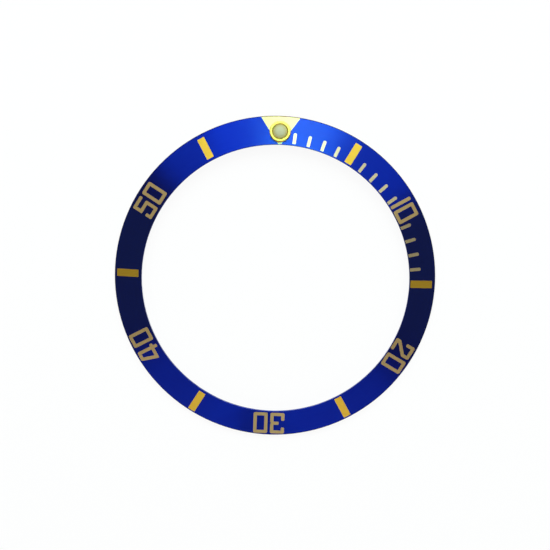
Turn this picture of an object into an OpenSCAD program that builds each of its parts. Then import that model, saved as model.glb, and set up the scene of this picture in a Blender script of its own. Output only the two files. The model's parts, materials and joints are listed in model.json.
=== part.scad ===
// Bezel insert of a diver's watch: a shallow cone of anodised aluminium with a
// coloured face, gold bars, ticks and numerals, and a luminous pearl at twelve.
// The origin is on the ring's axis, in the plane that the ring rests on.
// +Z points out of the face and +Y points to the pearl at twelve.

/* [Ring] */
// Outside diameter, pressed into the bezel
outside_d = 37.5; // [34:0.1:42]
// Mean width of the ring, from the rim to the hole round the crystal
band_w = 3.125; // [2.8:0.025:3.6]
// How far the hole sits off the rim's centre, towards three o'clock
hole_x = 0.08; // [0.04:0.01:0.1]
// How far the hole sits off the rim's centre, towards twelve o'clock
hole_y = -0.21; // [-0.24:0.01:-0.1]
// Fall of the face from the hole to the rim, in degrees
slope = 12; // [8:0.5:16]
// Thickness of the metal, square to the face
metal_t = 0.55; // [0.45:0.01:0.7]
// Width of the flat under the rim that the ring rests on
seat_w = 0.55; // [0.3:0.05:0.7]
// Chamfer round the top of the rim
rim_chamfer = 0.08; // [0.04:0.01:0.12]
// Chamfer round the top of the hole
hole_chamfer = 0.05; // [0.03:0.01:0.08]
// Chamfers round the back of the rim and the hole
back_chamfer = 0.05; // [0.03:0.01:0.08]

/* [Coloured face] */
// Depth of the colour and of the marks in it, square to the face
film_t = 0.06; // [0.04:0.01:0.1]
// How far the marks sit off the rim's centre, towards three o'clock
print_x = -0.04; // [-0.06:0.01:0.02]
// How far the marks sit off the rim's centre, towards twelve o'clock
print_y = -0.18; // [-0.19:0.01:-0.14]

/* [Bars, ticks and triangle] */
// Width of a bar
bar_w = 0.87; // [0.5:0.01:1.2]
// Gap from the hole to the inner end of a bar
bar_gap_in = 0.25; // [0.22:0.005:0.6]
// Gap from the outer end of a bar to the rim
bar_gap_out = 0.33; // [0.3:0.005:0.6]
// Radius of a bar's corners
bar_corner = 0.06; // [0.02:0.01:0.2]
// Width of a minute tick
tick_w = 0.38; // [0.2:0.01:0.6]
// Length of a minute tick
tick_l = 1.26; // [0.8:0.01:1.6]
// Gap from the hole to the inner end of a tick
tick_gap = 0.205; // [0.19:0.005:0.5]
// Radius of the corners at a tick's inner end
tick_corner = 0.06; // [0.02:0.01:0.09]
// Width of the triangle where its sides meet the rim
triangle_w = 4.4; // [4.2:0.05:5]
// Width that the triangle keeps beside the pearl's hole, at its narrowest
triangle_land = 0.06; // [0.04:0.01:0.15]

/* [Numerals] */
// Gap from the hole to the foot of a numeral
numeral_gap_in = 0.2; // [0.19:0.005:0.4]
// Gap from the head of a numeral to the rim
numeral_gap_out = 0.36; // [0.35:0.005:0.5]
// Width of a digit, apart from the one and the four
digit_w = 1.66; // [1.5:0.01:1.8]
// Width of the four
four_w = 1.93; // [1.8:0.01:2.1]
// Gap between two digits
digit_gap = 0.32; // [0.2:0.01:0.5]
// Width of the strokes
stroke = 0.39; // [0.3:0.01:0.45]
// Radius of the outer corners of a digit
corner_r = 0.2; // [0.1:0.01:0.28]
// Radius of the corners at the end of a stroke
end_r = 0.12; // [0.04:0.01:0.14]
// Length of the tail at the two's head
two_tail = 1.11; // [0.8:0.01:1.3]
// Length of the two's foot
two_foot = 1.47; // [1.2:0.01:1.5]
// Height at which the two's right side turns into the slant
two_bend = 1.69; // [1.5:0.01:1.9]
// Height at which the two's slant meets its left side
two_knee = 0.5; // [0.4:0.01:0.6]
// Length of the tail at the three's head
three_tail_top = 0.78; // [0.6:0.01:0.9]
// Length of the tail at the three's foot
three_tail_low = 0.96; // [0.7:0.01:1]
// Length of the three's middle bar
three_bar = 1; // [0.7:0.01:1.2]
// Depth of the notch in the three's right side
three_notch = 0.12; // [0.05:0.01:0.2]
// Height of the four's crossbar above its foot
four_foot = 0.45; // [0.3:0.01:0.7]
// How far the four's crossbar passes its stem
four_stub = 0.26; // [0.15:0.01:0.4]
// Width of the four's head
four_head = 1.12; // [0.95:0.01:1.3]
// Height of the underside of the five's middle bar
five_bar = 1.3; // [1.2:0.01:1.4]
// Length of the tail at the five's foot
five_tail = 0.84; // [0.6:0.01:0.95]
// How far the five's head passes its bowl
five_lip = 0.06; // [0:0.01:0.12]

/* [Pearl] */
// How far the pearl sits inwards of the middle of the marks
pearl_shift = 0.05; // [0:0.01:0.08]
// Diameter of the cup's flange
flange_d = 2.5; // [2.3:0.02:2.6]
// Height of the flange above the face
flange_t = 0.25; // [0.2:0.01:0.35]
// Radius of the flange's outer edge
flange_round = 0.1; // [0.05:0.01:0.15]
// Diameter of the cup's barrel, which goes through the ring
barrel_d = 1.8; // [1.7:0.02:1.84]
// Wall of the barrel
cup_wall = 0.08; // [0.07:0.01:0.12]
// Floor of the cup
cup_floor = 0.12; // [0.08:0.01:0.16]
// Bevel round the cup's mouth
mouth_bevel = 0.13; // [0.06:0.01:0.16]
// How far the barrel stays inside the back of the ring
barrel_short = 0.05; // [0.02:0.01:0.08]
// Running clearance round the barrel, round the filling and under the flange
cup_clearance = 0.01; // [0.005:0.005:0.02]
// Height of the lens's straight edge
lens_edge = 0.1; // [0.06:0.01:0.2]
// Rise of the lens's dome
lens_rise = 0.2; // [0.1:0.01:0.3]

/* [Hidden] */
$fn = 96;
corner_steps = 5;
full_hour = 60;
degrees_per_minute = 360 / full_hour;
over = 1;

outer_r = outside_d / 2;
hole_r = outer_r - band_w;
seat_r = outer_r - seat_w;
metal_v = metal_t / cos(slope);
film_v = film_t / cos(slope);
film_outer_r = outer_r - rim_chamfer;
hole_off = norm([hole_x, hole_y]);
hole_turn = atan2(hole_y, hole_x);
hole_lean = atan(tan(slope) * hole_off / hole_r);
blank_r = hole_r - hole_off - hole_chamfer;
mid_r = (outer_r + hole_r) / 2;
cut_h = face_z(hole_r) + over;

digit_h = band_w - numeral_gap_in - numeral_gap_out;
slant = (two_bend - two_knee) / (digit_w - stroke);
slant_half_v = stroke / 2 * sqrt(1 + slant * slant);
lean = (four_w - four_stub - four_head) / (digit_h - four_foot);
lean_w = stroke * sqrt(1 + lean * lean);

barrel_r = barrel_d / 2;
pocket_r = barrel_r - cup_wall;
cup_back = barrel_short - metal_t;
pocket_back = cup_back + cup_floor;
filling_r = pocket_r - cup_clearance;
lens_base = flange_t - mouth_bevel;
lens_back = lens_base - lens_edge;
dome_r = (filling_r * filling_r + lens_rise * lens_rise) / (2 * lens_rise);
pearl_hole_r = barrel_r + cup_clearance;
pearl_up = mid_r - pearl_shift;
pearl_r = norm([print_x, print_y + pearl_up]);
pearl_turn = atan2(print_x, print_y + pearl_up);

bar_minutes = [5 : 10 : 55];
numeral_minutes = [10 : 10 : 50];
tick_minutes = [for (m = [1 : 14]) if (m % 5 != 0) m];

function node_name(kind, minute) = str(kind, minute < 10 ? "_0" : "_", minute);

// Height of the face, and of the back, at a distance from the axis
function face_z(r) = metal_v + (seat_r - r) * tan(slope);
function back_z(r) = max(0, (seat_r - r) * tan(slope));

// An outline is a list of corners, each with its place and its radius
function place(corner) = [corner[0], corner[1]];
function unit(v) = v / norm(v);
function arc(centre, r, from, turn) =
    [for (k = [0 : corner_steps]) let (a = from + turn * k / corner_steps) centre + r * [cos(a), sin(a)]];
function rounded_corner(before, at, after) =
    let (
        to_before = unit(place(before) - place(at)),
        to_after = unit(place(after) - place(at)),
        half = acos(to_before * to_after) / 2,
        centre = place(at) + unit(to_before + to_after) * at[2] / sin(half),
        first = place(at) + to_before * at[2] / tan(half) - centre,
        side = sign(cross(to_before, to_after))
    )
    arc(centre, at[2], atan2(first[1], first[0]), -side * (180 - 2 * half));

module outline(corners) {
    n = len(corners);
    polygon([for (i = [0 : n - 1]) each
        corners[i][2] == 0 ? [place(corners[i])]
            : rounded_corner(corners[(i + n - 1) % n], corners[i], corners[(i + 1) % n])]);
}

// Digits, each with its lower left corner at the origin and its head outwards
module zero() {
    difference() {
        outline([
            [0, 0, corner_r],
            [digit_w, 0, corner_r],
            [digit_w, digit_h, corner_r],
            [0, digit_h, corner_r]
        ]);
        translate([stroke, stroke])
            square([digit_w - 2 * stroke, digit_h - 2 * stroke]);
    }
}

module one() {
    outline([[0, 0, end_r], [stroke, 0, end_r], [stroke, digit_h, end_r], [0, digit_h, end_r]]);
}

module two() {
    rise_r = slant * stroke / 2;
    head_low = digit_h - two_tail;
    outline([
        [0, 0, corner_r],
        [two_foot, 0, end_r],
        [two_foot, stroke, end_r],
        [stroke / 2 + (stroke - two_knee + slant_half_v) / slant, stroke, end_r / 2],
        [digit_w, two_bend + rise_r - slant_half_v, corner_r],
        [digit_w, digit_h, corner_r],
        [0, digit_h, corner_r],
        [0, head_low, end_r],
        [stroke, head_low, end_r],
        [stroke, digit_h - stroke, 0],
        [digit_w - stroke, digit_h - stroke, 0],
        [digit_w - stroke, two_bend - rise_r + slant_half_v, 0],
        [0, two_knee - rise_r + slant_half_v, corner_r]
    ]);
}

module three() {
    middle = digit_h / 2;
    side_x = digit_w - stroke;
    outline([
        [0, 0, corner_r],
        [digit_w, 0, corner_r],
        [digit_w, middle - three_notch, three_notch / 2],
        [digit_w - three_notch, middle, 0],
        [digit_w, middle + three_notch, three_notch / 2],
        [digit_w, digit_h, corner_r],
        [0, digit_h, corner_r],
        [0, digit_h - three_tail_top, end_r],
        [stroke, digit_h - three_tail_top, end_r],
        [stroke, digit_h - stroke, 0],
        [side_x, digit_h - stroke, 0],
        [side_x, middle + stroke / 2, 0],
        [digit_w - three_bar, middle + stroke / 2, end_r],
        [digit_w - three_bar, middle - stroke / 2, end_r],
        [side_x, middle - stroke / 2, 0],
        [side_x, stroke, 0],
        [stroke, stroke, 0],
        [stroke, three_tail_low, end_r],
        [0, three_tail_low, end_r]
    ]);
}

module four() {
    stem_right = four_w - four_stub;
    stem_left = stem_right - stroke;
    bar_top = four_foot + stroke;
    head_low = digit_h - stroke;
    difference() {
        outline([
            [0, four_foot, end_r],
            [stem_left, four_foot, 0],
            [stem_left, 0, end_r],
            [stem_right, 0, end_r],
            [stem_right, four_foot, 0],
            [four_w, four_foot, end_r],
            [four_w, bar_top, end_r],
            [stem_right, bar_top, 0],
            [stem_right, digit_h, corner_r],
            [stem_right - four_head, digit_h, corner_r]
        ]);
        polygon([
            [lean_w + lean * stroke, bar_top],
            [stem_left, bar_top],
            [stem_left, head_low],
            [lean_w + lean * (head_low - four_foot), head_low]
        ]);
    }
}

module five() {
    bowl_w = digit_w - five_lip;
    bar_top = five_bar + stroke;
    outline([
        [0, 0, corner_r],
        [bowl_w, 0, corner_r],
        [bowl_w, bar_top, corner_r],
        [stroke, bar_top, 0],
        [stroke, digit_h - stroke, 0],
        [digit_w, digit_h - stroke, end_r],
        [digit_w, digit_h, end_r],
        [0, digit_h, end_r],
        [0, five_bar, end_r],
        [bowl_w - stroke, five_bar, 0],
        [bowl_w - stroke, stroke, 0],
        [stroke, stroke, 0],
        [stroke, five_tail, end_r],
        [0, five_tail, end_r]
    ]);
}

module tens_digit(minute) {
    if (minute == 10) one();
    if (minute == 20) two();
    if (minute == 30) three();
    if (minute == 40) four();
    if (minute == 50) five();
}

// Marks, drawn flat on the face where they lie
module at_minute(minute) {
    translate([print_x, print_y])
        rotate(-minute * degrees_per_minute)
            children();
}

module bar_shape(minute) {
    at_minute(minute)
        outline([
            [-bar_w / 2, hole_r + bar_gap_in, bar_corner],
            [bar_w / 2, hole_r + bar_gap_in, bar_corner],
            [bar_w / 2, outer_r - bar_gap_out, bar_corner],
            [-bar_w / 2, outer_r - bar_gap_out, bar_corner]
        ]);
}

module tick_shape(minute) {
    tip_r = tick_w / 2 - tick_corner / corner_steps;
    foot = hole_r + tick_gap;
    at_minute(minute)
        outline([
            [-tick_w / 2, foot, tick_corner],
            [tick_w / 2, foot, tick_corner],
            [tick_w / 2, foot + tick_l, tip_r],
            [-tick_w / 2, foot + tick_l, tip_r]
        ]);
}

module numeral_shape(minute) {
    tens_w = minute == 10 ? stroke : minute == 40 ? four_w : digit_w;
    both_w = tens_w + digit_gap + digit_w;
    at_minute(minute)
        translate([-both_w / 2, hole_r + numeral_gap_in]) {
            tens_digit(minute);
            translate([tens_w + digit_gap, 0])
                zero();
        }
}

module triangle_shape() {
    half_w = triangle_w / 2;
    base_y = sqrt(outer_r * outer_r - half_w * half_w);
    to_pearl = [half_w, base_y - pearl_up];
    half_angle = atan2(to_pearl[0], to_pearl[1]) - asin((pearl_hole_r + triangle_land) / norm(to_pearl));
    tip_y = base_y - half_w / tan(half_angle);
    far_y = outer_r + over;
    far_x = (far_y - tip_y) * tan(half_angle);
    at_minute(0)
        polygon([[0, tip_y], [far_x, far_y], [-far_x, far_y]]);
}

// The hole is off the cone's axis, so its edges lie in planes that lean a little
module at_hole(z) {
    translate([hole_x, hole_y, z])
        rotate([0, 0, hole_turn])
            rotate([0, hole_lean, 0])
                children();
}

module hole_cut() {
    translate([hole_x, hole_y, -over])
        cylinder(r = hole_r, h = cut_h + over);
    at_hole(face_z(hole_r) - 2 * hole_chamfer)
        cylinder(r1 = hole_r - hole_chamfer, r2 = hole_r + over, h = over + hole_chamfer);
    at_hole(back_z(hole_r) + back_chamfer - over)
        cylinder(r1 = hole_r + over, r2 = hole_r - back_chamfer, h = over + back_chamfer);
}

// The skin of the face, which the colour and the marks share
module face_film() {
    difference() {
        rotate_extrude()
            polygon([
                [blank_r, face_z(blank_r) - film_v],
                [film_outer_r, face_z(film_outer_r) - film_v],
                [film_outer_r, face_z(film_outer_r)],
                [blank_r, face_z(blank_r)]
            ]);
        hole_cut();
    }
}

module inlay() {
    intersection() {
        face_film();
        linear_extrude(cut_h)
            children();
    }
}

module at_pearl() {
    rotate(-pearl_turn)
        translate([0, pearl_r, face_z(pearl_r)])
            rotate([-slope, 0, 0])
                children();
}

module pearl_hole() {
    at_pearl()
        translate([0, 0, -metal_t - over])
            cylinder(r = pearl_hole_r, h = metal_t + 2 * over);
}

// Pieces
module insert_ring() {
    color("goldenrod")
        difference() {
            rotate_extrude()
                polygon([
                    [outer_r - back_chamfer, 0],
                    [outer_r, back_chamfer],
                    [outer_r, face_z(outer_r) - rim_chamfer],
                    [film_outer_r, face_z(film_outer_r)],
                    [film_outer_r, face_z(film_outer_r) - film_v],
                    [blank_r, face_z(blank_r) - film_v],
                    [blank_r, back_z(blank_r)],
                    [seat_r, 0]
                ]);
            hole_cut();
            pearl_hole();
        }
}

module blue_coat() {
    color("mediumblue")
        difference() {
            face_film();
            linear_extrude(cut_h) {
                triangle_shape();
                for (m = bar_minutes) bar_shape(m);
                for (m = tick_minutes) tick_shape(m);
                for (m = numeral_minutes) numeral_shape(m);
            }
            pearl_hole();
        }
}

module zero_triangle() {
    color("khaki")
        difference() {
            inlay() triangle_shape();
            pearl_hole();
        }
}

module bar(minute) {
    color("gold")
        inlay() bar_shape(minute);
}

module tick(minute) {
    color("gold")
        inlay() tick_shape(minute);
}

module numeral(minute) {
    color("gold")
        inlay() numeral_shape(minute);
}

module pearl_cup() {
    edge = [flange_d / 2 - flange_round, flange_t - flange_round];
    color("gold")
        at_pearl()
            rotate_extrude()
                polygon(concat(
                    [
                        [0, cup_back],
                        [barrel_r, cup_back],
                        [barrel_r, cup_clearance],
                        [flange_d / 2, cup_clearance]
                    ],
                    arc(edge, flange_round, 0, 90),
                    [
                        [pocket_r + mouth_bevel, flange_t],
                        [pocket_r, lens_base],
                        [pocket_r, pocket_back],
                        [0, pocket_back]
                    ]
                ));
}

module pearl_lume() {
    color("beige")
        at_pearl()
            translate([0, 0, pocket_back])
                cylinder(r = filling_r, h = lens_back - pocket_back);
}

module pearl_lens() {
    color("white")
        at_pearl()
            intersection() {
                translate([0, 0, lens_back])
                    cylinder(r = filling_r, h = lens_edge + lens_rise + over);
                translate([0, 0, lens_base + lens_rise - dome_r])
                    sphere(r = dome_r);
            }
}

insert_ring();
blue_coat();
zero_triangle();
for (m = bar_minutes) bar(m);
for (m = tick_minutes) tick(m);
for (m = numeral_minutes) numeral(m);
pearl_cup();
pearl_lume();
pearl_lens();
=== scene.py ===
"""Looks of the watch bezel insert: camera, soft studio light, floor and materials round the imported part.

Lengths are in metres unless a name says otherwise. Azimuths are clockwise from twelve o'clock, seen from above,
and polar angles are from straight up. Angles are in degrees.
"""
import json
import math

import bpy
from mathutils import Matrix, Vector

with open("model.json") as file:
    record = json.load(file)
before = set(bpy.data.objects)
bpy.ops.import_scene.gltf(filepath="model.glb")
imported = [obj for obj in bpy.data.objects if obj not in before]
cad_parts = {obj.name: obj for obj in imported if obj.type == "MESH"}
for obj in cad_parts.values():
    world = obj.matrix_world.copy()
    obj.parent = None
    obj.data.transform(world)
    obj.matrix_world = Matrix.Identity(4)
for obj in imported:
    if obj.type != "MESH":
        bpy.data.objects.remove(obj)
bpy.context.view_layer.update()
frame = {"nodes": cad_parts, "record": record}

PHOTO_PIXELS = 550
MM = 0.001

# Camera, as the photograph was taken
CAMERA_DISTANCE = 0.2
CAMERA_TILT = 5.65
CAMERA_AZIMUTH = 4.2
CAMERA_ROLL = 2.234
FOCAL_PIXELS = 1705.8
AIM_RIGHT = 0.012 * MM
AIM_UP = 0.161 * MM
SENSOR_WIDTH = 36
CLIP_START = 0.01

# The hole round the crystal, which sits off the ring's axis
HOLE = next(mount for mount in frame["record"]["mounts"] if mount["name"] == "hole")

# Colours, as linear values
BLUE = (0.0008, 0.0235, 0.44, 1)
BLUE_DEEP = (0.0004, 0.018, 0.39, 1)
# The bore's blue is darker than the face's: painted shade on the bore's wall and along its edge
BORE_BLUE_AND_SHADE = (0.001, 0.018, 0.25, 1)
GOLD = (0.98, 0.625, 0.065, 1)
GOLD_DEEP = (0.92, 0.575, 0.055, 1)
TAN = (0.55, 0.38, 0.165, 1)
TAN_DEEP = (0.51, 0.345, 0.145, 1)
PALE_GOLD = (0.75, 0.61, 0.34, 1)
PALE_GOLD_DEEP = (0.71, 0.57, 0.31, 1)
CREAM = (0.75, 0.69, 0.27, 1)
CREAM_DEEP = (0.72, 0.66, 0.24, 1)
BLANK = (0.6, 0.46, 0.2, 1)
BLANK_DEEP = (0.5, 0.37, 0.14, 1)
# The rim's bevel is painted dark as shade: blue, and gold behind the triangle
SHADED_RIM_BLUE = (0.001, 0.012, 0.14, 1)
SHADED_RIM_GOLD = (0.13, 0.045, 0.005, 1)
PLATE = (0.97, 0.66, 0.13, 1)
PLATE_DEEP = tuple(0.93 * channel for channel in PLATE[:3]) + (1,)
# The mouth of the cup is painted a darker gold, as shade
PLATE_SHADED = (0.62, 0.44, 0.09, 1)
LUME = (0.68, 0.7, 0.42, 1)
LUME_DARK = (0.64, 0.66, 0.38, 1)
LUME_GRAIN = (0.64, 0.69, 0.45, 1)
LENS_HAZE = (0.66, 0.67, 0.42, 1)
LENS_BORDER = (0.6, 0.53, 0.16, 1)
HORIZON = (1, 1, 1, 1)
ROOM = (0.11, 0.062, 0.08, 1)
PAPER = (0.8, 0.8, 0.8, 1)
WHITE = (1, 1, 1, 1)

# Turned metal
EDGE_BLUR_MM = 0.01
GROOVES_PER_MM = 30
GROOVE_CHANGES = 9
RAY_CHANGES = 60
CLOUD_SCALE = 0.45
STREAK_SWING = 0.05
GROOVE_DEPTH = 0.0006 * MM
ROUGHNESS_SPREAD = 0.06
COAT_ROUGHNESS = 0.2
COAT_IOR = 1.6
# A surface whose normal's height is over the second value is dyed, with its bevel painted dark as shade, and
# under the first it is bare metal
DYED_AND_SHADED_NORMAL = (0.2, 0.4)

# Pearl: radii from its middle, seen from above
MOUTH_RADIUS_MM = 0.97
MOUTH_BLUR_MM = 0.03
LENS_BORDER_MM = (0.4, 0.85)
LENS_COVER = 0.6
LENS_IOR = 1.3

# The floor is white to the eye, and keeps only a faint shadow
FLOOR_HALF = 1.5
FLOOR_SHADE = 0.07
FLOOR_GLOW = 0.92

# The sine of the elevation at which the pale horizon ends, and at which the room is dark
HORIZON_ENDS = (0.18, 0.32)

LAMP_DISTANCE = 0.5
# Name, azimuth, polar angle, width, height, watts, colour
LAMPS = [
    ("top_left", -25, 55, 0.45, 0.3, 1.27, (0.78, 0.99, 0.98)),
    ("top_right", 32, 55, 0.45, 0.3, 1.3, (0.86, 1.08, 1.08)),
    ("key", -1, 55, 0.46, 0.3, 1.36, (0.9, 1.04, 1.0)),
    ("low_right", 154, 60, 0.34, 0.3, 0.455, (1.0, 0.975, 0.99)),
    ("low_left", 212, 60, 0.32, 0.3, 0.37, (1.0, 0.975, 0.99)),
    ("glint", 8, 23.4, 0.12, 0.06, 0.18, (0.15, 1.07, 0.92)),
    ("warm_glint", 8, 32.4, 0.12, 0.06, 0.13, (1, 0.1, 0.05)),
    ("right_sheen", 99, 29.5, 0.25, 0.12, 0.022, (0.6, 1, 0.3)),
    ("left_sheen", 261, 29.5, 0.25, 0.12, 0.022, (0.6, 1, 0.3)),
]


def around(azimuth, polar):
    """Unit vector that leans from +Z by the polar angle, towards a clockwise azimuth."""
    a = math.radians(azimuth)
    p = math.radians(polar)
    return Vector((math.sin(a) * math.sin(p), math.cos(a) * math.sin(p), math.cos(p)))


def make_camera():
    data = bpy.data.cameras.new("camera")
    data.sensor_width = SENSOR_WIDTH
    data.lens = SENSOR_WIDTH * FOCAL_PIXELS / PHOTO_PIXELS
    data.clip_start = CLIP_START
    back = around(CAMERA_AZIMUTH, CAMERA_TILT)
    level = Vector((0, 1, 0)).cross(back).normalized()
    upright = back.cross(level)
    roll = math.radians(CAMERA_ROLL)
    right = math.cos(roll) * level + math.sin(roll) * upright
    up = back.cross(right)
    camera = bpy.data.objects.new("camera", data)
    bpy.context.scene.collection.objects.link(camera)
    place = AIM_RIGHT * right + AIM_UP * up + CAMERA_DISTANCE * back
    camera.matrix_world = Matrix.Translation(place) @ Matrix((right, up, back)).transposed().to_4x4()
    bpy.context.scene.camera = camera


class Nodes:
    """Makes the nodes of one material or world. A value is a number, a tuple or another node's output."""

    def __init__(self, owner):
        owner.use_nodes = True
        self.tree = owner.node_tree
        self.tree.nodes.clear()

    def add(self, kind, inputs=None, **settings):
        node = self.tree.nodes.new(kind)
        for name, value in settings.items():
            setattr(node, name, value)
        for key, value in (inputs or {}).items():
            if isinstance(value, bpy.types.NodeSocket):
                self.tree.links.new(value, node.inputs[key])
            else:
                node.inputs[key].default_value = value
        return node

    def math(self, operation, first, second=0.0):
        return self.add("ShaderNodeMath", {0: first, 1: second}, operation=operation).outputs[0]

    def vector(self, operation, first, second=(0, 0, 0)):
        return self.add("ShaderNodeVectorMath", {0: first, 1: second}, operation=operation).outputs[0]

    def length(self, vector):
        return self.add("ShaderNodeVectorMath", {0: vector}, operation="LENGTH").outputs["Value"]

    def noise(self, vector, scale, detail):
        inputs = {"Vector": vector, "Scale": scale, "Detail": detail}
        return self.add("ShaderNodeTexNoise", inputs).outputs[0]

    def ramp(self, value, low, high, to_low=0.0, to_high=1.0):
        inputs = {0: value, 1: low, 2: high, 3: to_low, 4: to_high}
        return self.add("ShaderNodeMapRange", inputs).outputs[0]

    def mix(self, factor, first, second):
        inputs = {0: factor, 6: first, 7: second}
        return self.add("ShaderNodeMix", inputs, data_type="RGBA").outputs[2]

    def bump(self, strength, distance, height):
        inputs = {"Strength": strength, "Distance": distance, "Height": height}
        return self.add("ShaderNodeBump", inputs).outputs[0]

    def principled(self, inputs):
        shader = self.add("ShaderNodeBsdfPrincipled", inputs)
        self.add("ShaderNodeOutputMaterial", {"Surface": shader.outputs[0]})


def place_mm(nodes):
    """Place on the part, in mm."""
    shown = nodes.add("ShaderNodeTexCoord").outputs["Object"]
    return nodes.vector("MULTIPLY", shown, (1 / MM, 1 / MM, 1 / MM))


def distance_from(nodes, place, centre):
    """Distance in mm from a centre, seen from above."""
    flat = nodes.vector("MULTIPLY", nodes.vector("SUBTRACT", place, centre), (1, 1, 0))
    return nodes.length(flat)


def near_bore(nodes, place, reach):
    """1 on the bore's wall and on the face up to a reach in mm from it, 0 elsewhere."""
    centre = tuple(value / MM for value in HOLE["pos_m"])
    edge = HOLE["dims"]["r_mm"] + reach
    return nodes.ramp(distance_from(nodes, place, centre), edge + EDGE_BLUR_MM, edge - EDGE_BLUR_MM)


def facing_up(nodes):
    """0 on walls and under the ring, 1 on its bevel and its face."""
    facing = nodes.add("ShaderNodeTexCoord").outputs["Normal"]
    return nodes.ramp(nodes.add("ShaderNodeSeparateXYZ", {0: facing}).outputs[2], *DYED_AND_SHADED_NORMAL)


def corners_of(piece):
    return [piece.matrix_world @ Vector(corner) for corner in piece.bound_box]


def behind_triangle(nodes, place):
    """1 on the part of the rim that the triangle's top edge runs along, 0 elsewhere."""
    across = [corner.x / MM for corner in corners_of(frame["nodes"]["zero_triangle"])]
    middle = (min(across) + max(across)) / 2
    half = (max(across) - min(across)) / 2
    parts = nodes.add("ShaderNodeSeparateXYZ", {0: place}).outputs
    side = nodes.math("ABSOLUTE", nodes.math("SUBTRACT", parts[0], middle))
    beside = nodes.ramp(side, half, half - 2 * EDGE_BLUR_MM)
    return nodes.math("MULTIPLY", beside, nodes.ramp(parts[1], 0, 1))


def turned_metal(name, colour, deep_colour, roughness, metallic=1.0, coat=0.0, shaded_bore_edge=0.0, bevel=None):
    """Anodised aluminium, brushed in circles round the axis. A dull dye makes it less metallic.

    The bore edge is how far the bore's blue reaches over the face, in mm; that blue is darker than the face's,
    as painted shade along the bore.
    """
    material = bpy.data.materials.new(name)
    nodes = Nodes(material)
    place = place_mm(nodes)
    flat = nodes.vector("MULTIPLY", place, (1, 1, 0))
    outward = nodes.vector("NORMALIZE", flat)
    level = nodes.add("ShaderNodeCombineXYZ", {2: nodes.length(flat)}).outputs[0]

    # Grooves vary fast with the distance from the axis and slowly along the ring
    along = nodes.vector("MULTIPLY", outward, (GROOVE_CHANGES, GROOVE_CHANGES, 0))
    across = nodes.vector("MULTIPLY", level, (0, 0, GROOVES_PER_MM))
    grooves = nodes.noise(nodes.vector("ADD", along, across), 1.0, 4.0)
    spokes = nodes.vector("MULTIPLY", outward, (RAY_CHANGES, RAY_CHANGES, 0))
    rays = nodes.noise(nodes.vector("ADD", spokes, level), 1.0, 3.0)
    cloud = nodes.noise(place, CLOUD_SCALE, 3.0)

    tint = nodes.math("ADD", nodes.math("MULTIPLY", grooves, 0.5), nodes.math("MULTIPLY", cloud, 0.5))
    base = nodes.mix(nodes.ramp(tint, 0.3, 0.7), deep_colour, colour)
    # Painted shade: the bevel takes dark colours, so that the rim shows a dark outline
    if bevel:
        edge = nodes.mix(behind_triangle(nodes, place), bevel, SHADED_RIM_GOLD)
        base = nodes.mix(facing_up(nodes), base, edge)
    # Painted shade: a darker blue on the bore's wall and on the face and triangle tip next to it
    if shaded_bore_edge:
        base = nodes.mix(near_bore(nodes, place, shaded_bore_edge), base, BORE_BLUE_AND_SHADE)
    smooth = roughness * (1 - ROUGHNESS_SPREAD)
    rough = roughness * (1 + ROUGHNESS_SPREAD)

    # Streaks turn the brushing a little, so that the light breaks up into fine rays
    around_axis = nodes.vector("CROSS_PRODUCT", (0, 0, 1), outward)
    swing = nodes.math("MULTIPLY", nodes.math("SUBTRACT", rays, 0.5), STREAK_SWING)
    turned = nodes.add("ShaderNodeVectorMath", {0: around_axis, "Scale": swing}, operation="SCALE").outputs[0]
    tangent = nodes.vector("NORMALIZE", nodes.vector("ADD", outward, turned))

    nodes.principled({
        "Base Color": base, "Metallic": metallic, "Roughness": nodes.ramp(rays, 0.25, 0.75, smooth, rough),
        "Anisotropic": 1.0, "Tangent": tangent, "Normal": nodes.bump(0.5, GROOVE_DEPTH, grooves),
        "Coat Weight": coat, "Coat Roughness": COAT_ROUGHNESS, "Coat IOR": COAT_IOR,
    })
    return material


def from_pearl(nodes, place):
    """Distance from the middle of the pearl in mm, seen from above."""
    corners = corners_of(frame["nodes"]["pearl_lens"])
    centre = sum(corners, Vector()) / len(corners) / MM
    return distance_from(nodes, place, tuple(centre))


def plated_metal(name, roughness):
    """Gold plate, with painted shade in the mouth of the cup, round the lens."""
    material = bpy.data.materials.new(name)
    nodes = Nodes(material)
    place = place_mm(nodes)
    grain = nodes.noise(place, 9.0, 4.0)
    base = nodes.mix(nodes.ramp(grain, 0.3, 0.7), PLATE_DEEP, PLATE)
    # Painted shade: a darker gold in the mouth of the cup
    mouth = nodes.ramp(from_pearl(nodes, place), MOUTH_RADIUS_MM, MOUTH_RADIUS_MM - MOUTH_BLUR_MM)
    nodes.principled({
        "Base Color": nodes.mix(mouth, base, PLATE_SHADED), "Metallic": 1.0,
        "Roughness": nodes.ramp(grain, 0.3, 0.7, roughness * 0.8, roughness * 1.2),
        "Normal": nodes.bump(0.3, 0.001 * MM, grain),
    })
    return material


def lume_paint(name):
    material = bpy.data.materials.new(name)
    nodes = Nodes(material)
    place = place_mm(nodes)
    grain = nodes.noise(place, 28.0, 3.0)
    cloud = nodes.noise(place, 1.6, 2.0)
    base = nodes.mix(nodes.ramp(cloud, 0.35, 0.65), LUME_DARK, LUME)
    base = nodes.mix(nodes.ramp(grain, 0.35, 0.7, 0.0, 0.35), base, LUME_GRAIN)
    nodes.principled({"Base Color": base, "Roughness": 0.85, "Normal": nodes.bump(0.6, 0.006 * MM, grain)})
    return material


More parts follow.
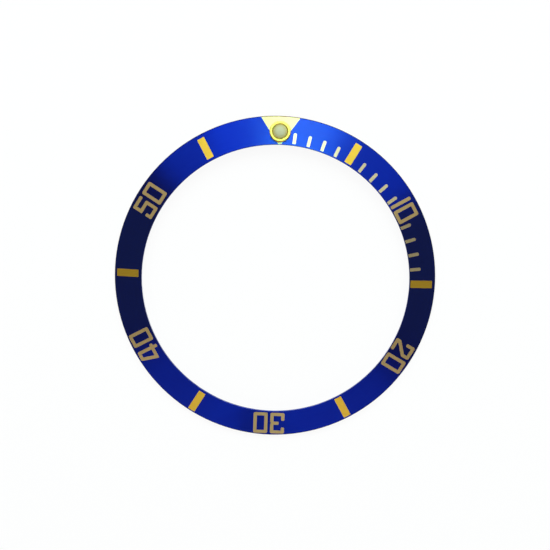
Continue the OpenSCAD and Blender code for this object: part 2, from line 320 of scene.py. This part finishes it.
def clear_lens(name):
    """Clear plastic that has gone milky, and is coloured browner towards its border."""
    material = bpy.data.materials.new(name)
    nodes = Nodes(material)
    place = place_mm(nodes)
    haze = nodes.noise(place, 3.0, 3.0)
    nodes.principled({
        "Base Color": nodes.mix(nodes.ramp(from_pearl(nodes, place), *LENS_BORDER_MM), LENS_HAZE, LENS_BORDER),
        "Roughness": nodes.ramp(haze, 0.3, 0.7, 0.35, 0.45), "IOR": LENS_IOR, "Alpha": LENS_COVER,
    })
    return material


def seen_directly(nodes):
    """1 for camera, mirror and glass rays, 0 for the light that the floor throws on the object."""
    path = nodes.add("ShaderNodeLightPath")
    rays = nodes.math("MAXIMUM", path.outputs["Is Camera Ray"], path.outputs["Is Glossy Ray"])
    return nodes.math("MAXIMUM", rays, path.outputs["Is Transmission Ray"])


def make_floor():
    half = FLOOR_HALF
    mesh = bpy.data.meshes.new("floor")
    corners = [(-half, -half, 0), (half, -half, 0), (half, half, 0), (-half, half, 0)]
    mesh.from_pydata(corners, [], [(0, 1, 2, 3)])
    floor = bpy.data.objects.new("floor", mesh)
    bpy.context.scene.collection.objects.link(floor)
    material = bpy.data.materials.new("floor_paper")
    nodes = Nodes(material)
    paper = nodes.add("ShaderNodeBsdfDiffuse", {"Color": PAPER})
    shade = nodes.add("ShaderNodeBsdfDiffuse", {"Color": (FLOOR_SHADE, FLOOR_SHADE, FLOOR_SHADE, 1)})
    glow = nodes.add("ShaderNodeEmission", {"Color": WHITE, "Strength": FLOOR_GLOW})
    white = nodes.add("ShaderNodeAddShader", {0: shade.outputs[0], 1: glow.outputs[0]})
    inputs = {0: seen_directly(nodes), 1: paper.outputs[0], 2: white.outputs[0]}
    mixed = nodes.add("ShaderNodeMixShader", inputs)
    nodes.add("ShaderNodeOutputMaterial", {"Surface": mixed.outputs[0]})
    mesh.materials.append(material)


def make_world():
    """A dim room with a pale band low round the horizon."""
    world = bpy.data.worlds.new("room")
    bpy.context.scene.world = world
    nodes = Nodes(world)
    direction = nodes.add("ShaderNodeTexCoord").outputs["Generated"]
    height = nodes.add("ShaderNodeSeparateXYZ", {0: direction}).outputs[2]
    colour = nodes.mix(nodes.ramp(height, *HORIZON_ENDS), HORIZON, ROOM)
    shader = nodes.add("ShaderNodeBackground", {"Color": colour, "Strength": 1.0})
    nodes.add("ShaderNodeOutputWorld", {"Surface": shader.outputs[0]})


def make_lamp(name, azimuth, polar, width, height, watts, colour):
    """A rectangular lamp that faces the middle of the part."""
    data = bpy.data.lights.new(name, "AREA")
    data.shape = "RECTANGLE"
    data.size = width
    data.size_y = height
    data.energy = watts
    data.color = colour
    lamp = bpy.data.objects.new(name, data)
    bpy.context.scene.collection.objects.link(lamp)
    back = around(azimuth, polar)
    side = back.cross(Vector((0, 0, 1))).normalized()
    axes = Matrix((side, back.cross(side), back)).transposed().to_4x4()
    lamp.matrix_world = Matrix.Translation(LAMP_DISTANCE * back) @ axes


def dress():
    """Gives each piece the material of its own name, or else of its kind, the first word of its name."""
    materials = {
        "blue_coat": turned_metal("blue_anodised", BLUE, BLUE_DEEP, 0.31, coat=0.4, shaded_bore_edge=0.1),
        # The triangle's tip next to the bore is painted dark blue, as shade
        "zero_triangle": turned_metal(
            "cream_gold_anodised", CREAM, CREAM_DEEP, 0.34, metallic=0.5, coat=1.0, shaded_bore_edge=0.1),
        "bar": turned_metal("gold_anodised", GOLD, GOLD_DEEP, 0.34, metallic=0.85),
        "tick": turned_metal("pale_gold_anodised", PALE_GOLD, PALE_GOLD_DEEP, 0.34, metallic=0.8, coat=1.0),
        "numeral": turned_metal("tan_gold_anodised", TAN, TAN_DEEP, 0.34, metallic=0.5),
        "insert_ring": turned_metal("turned_aluminium", BLANK, BLANK_DEEP, 0.4, shaded_bore_edge=0.2, bevel=SHADED_RIM_BLUE),
        "pearl_cup": plated_metal("gold_plate", 0.3),
        "pearl_lume": lume_paint("lume_paint"),
        "pearl_lens": clear_lens("clear_plastic"),
    }
    for node_name, piece in frame["nodes"].items():
        kind = node_name if node_name in materials else node_name.split("_")[0]
        piece.data.materials.clear()
        piece.data.materials.append(materials[kind])


make_camera()
make_floor()
make_world()
for lamp_settings in LAMPS:
    make_lamp(*lamp_settings)
dress()

bpy.context.scene.view_settings.view_transform = "Standard"
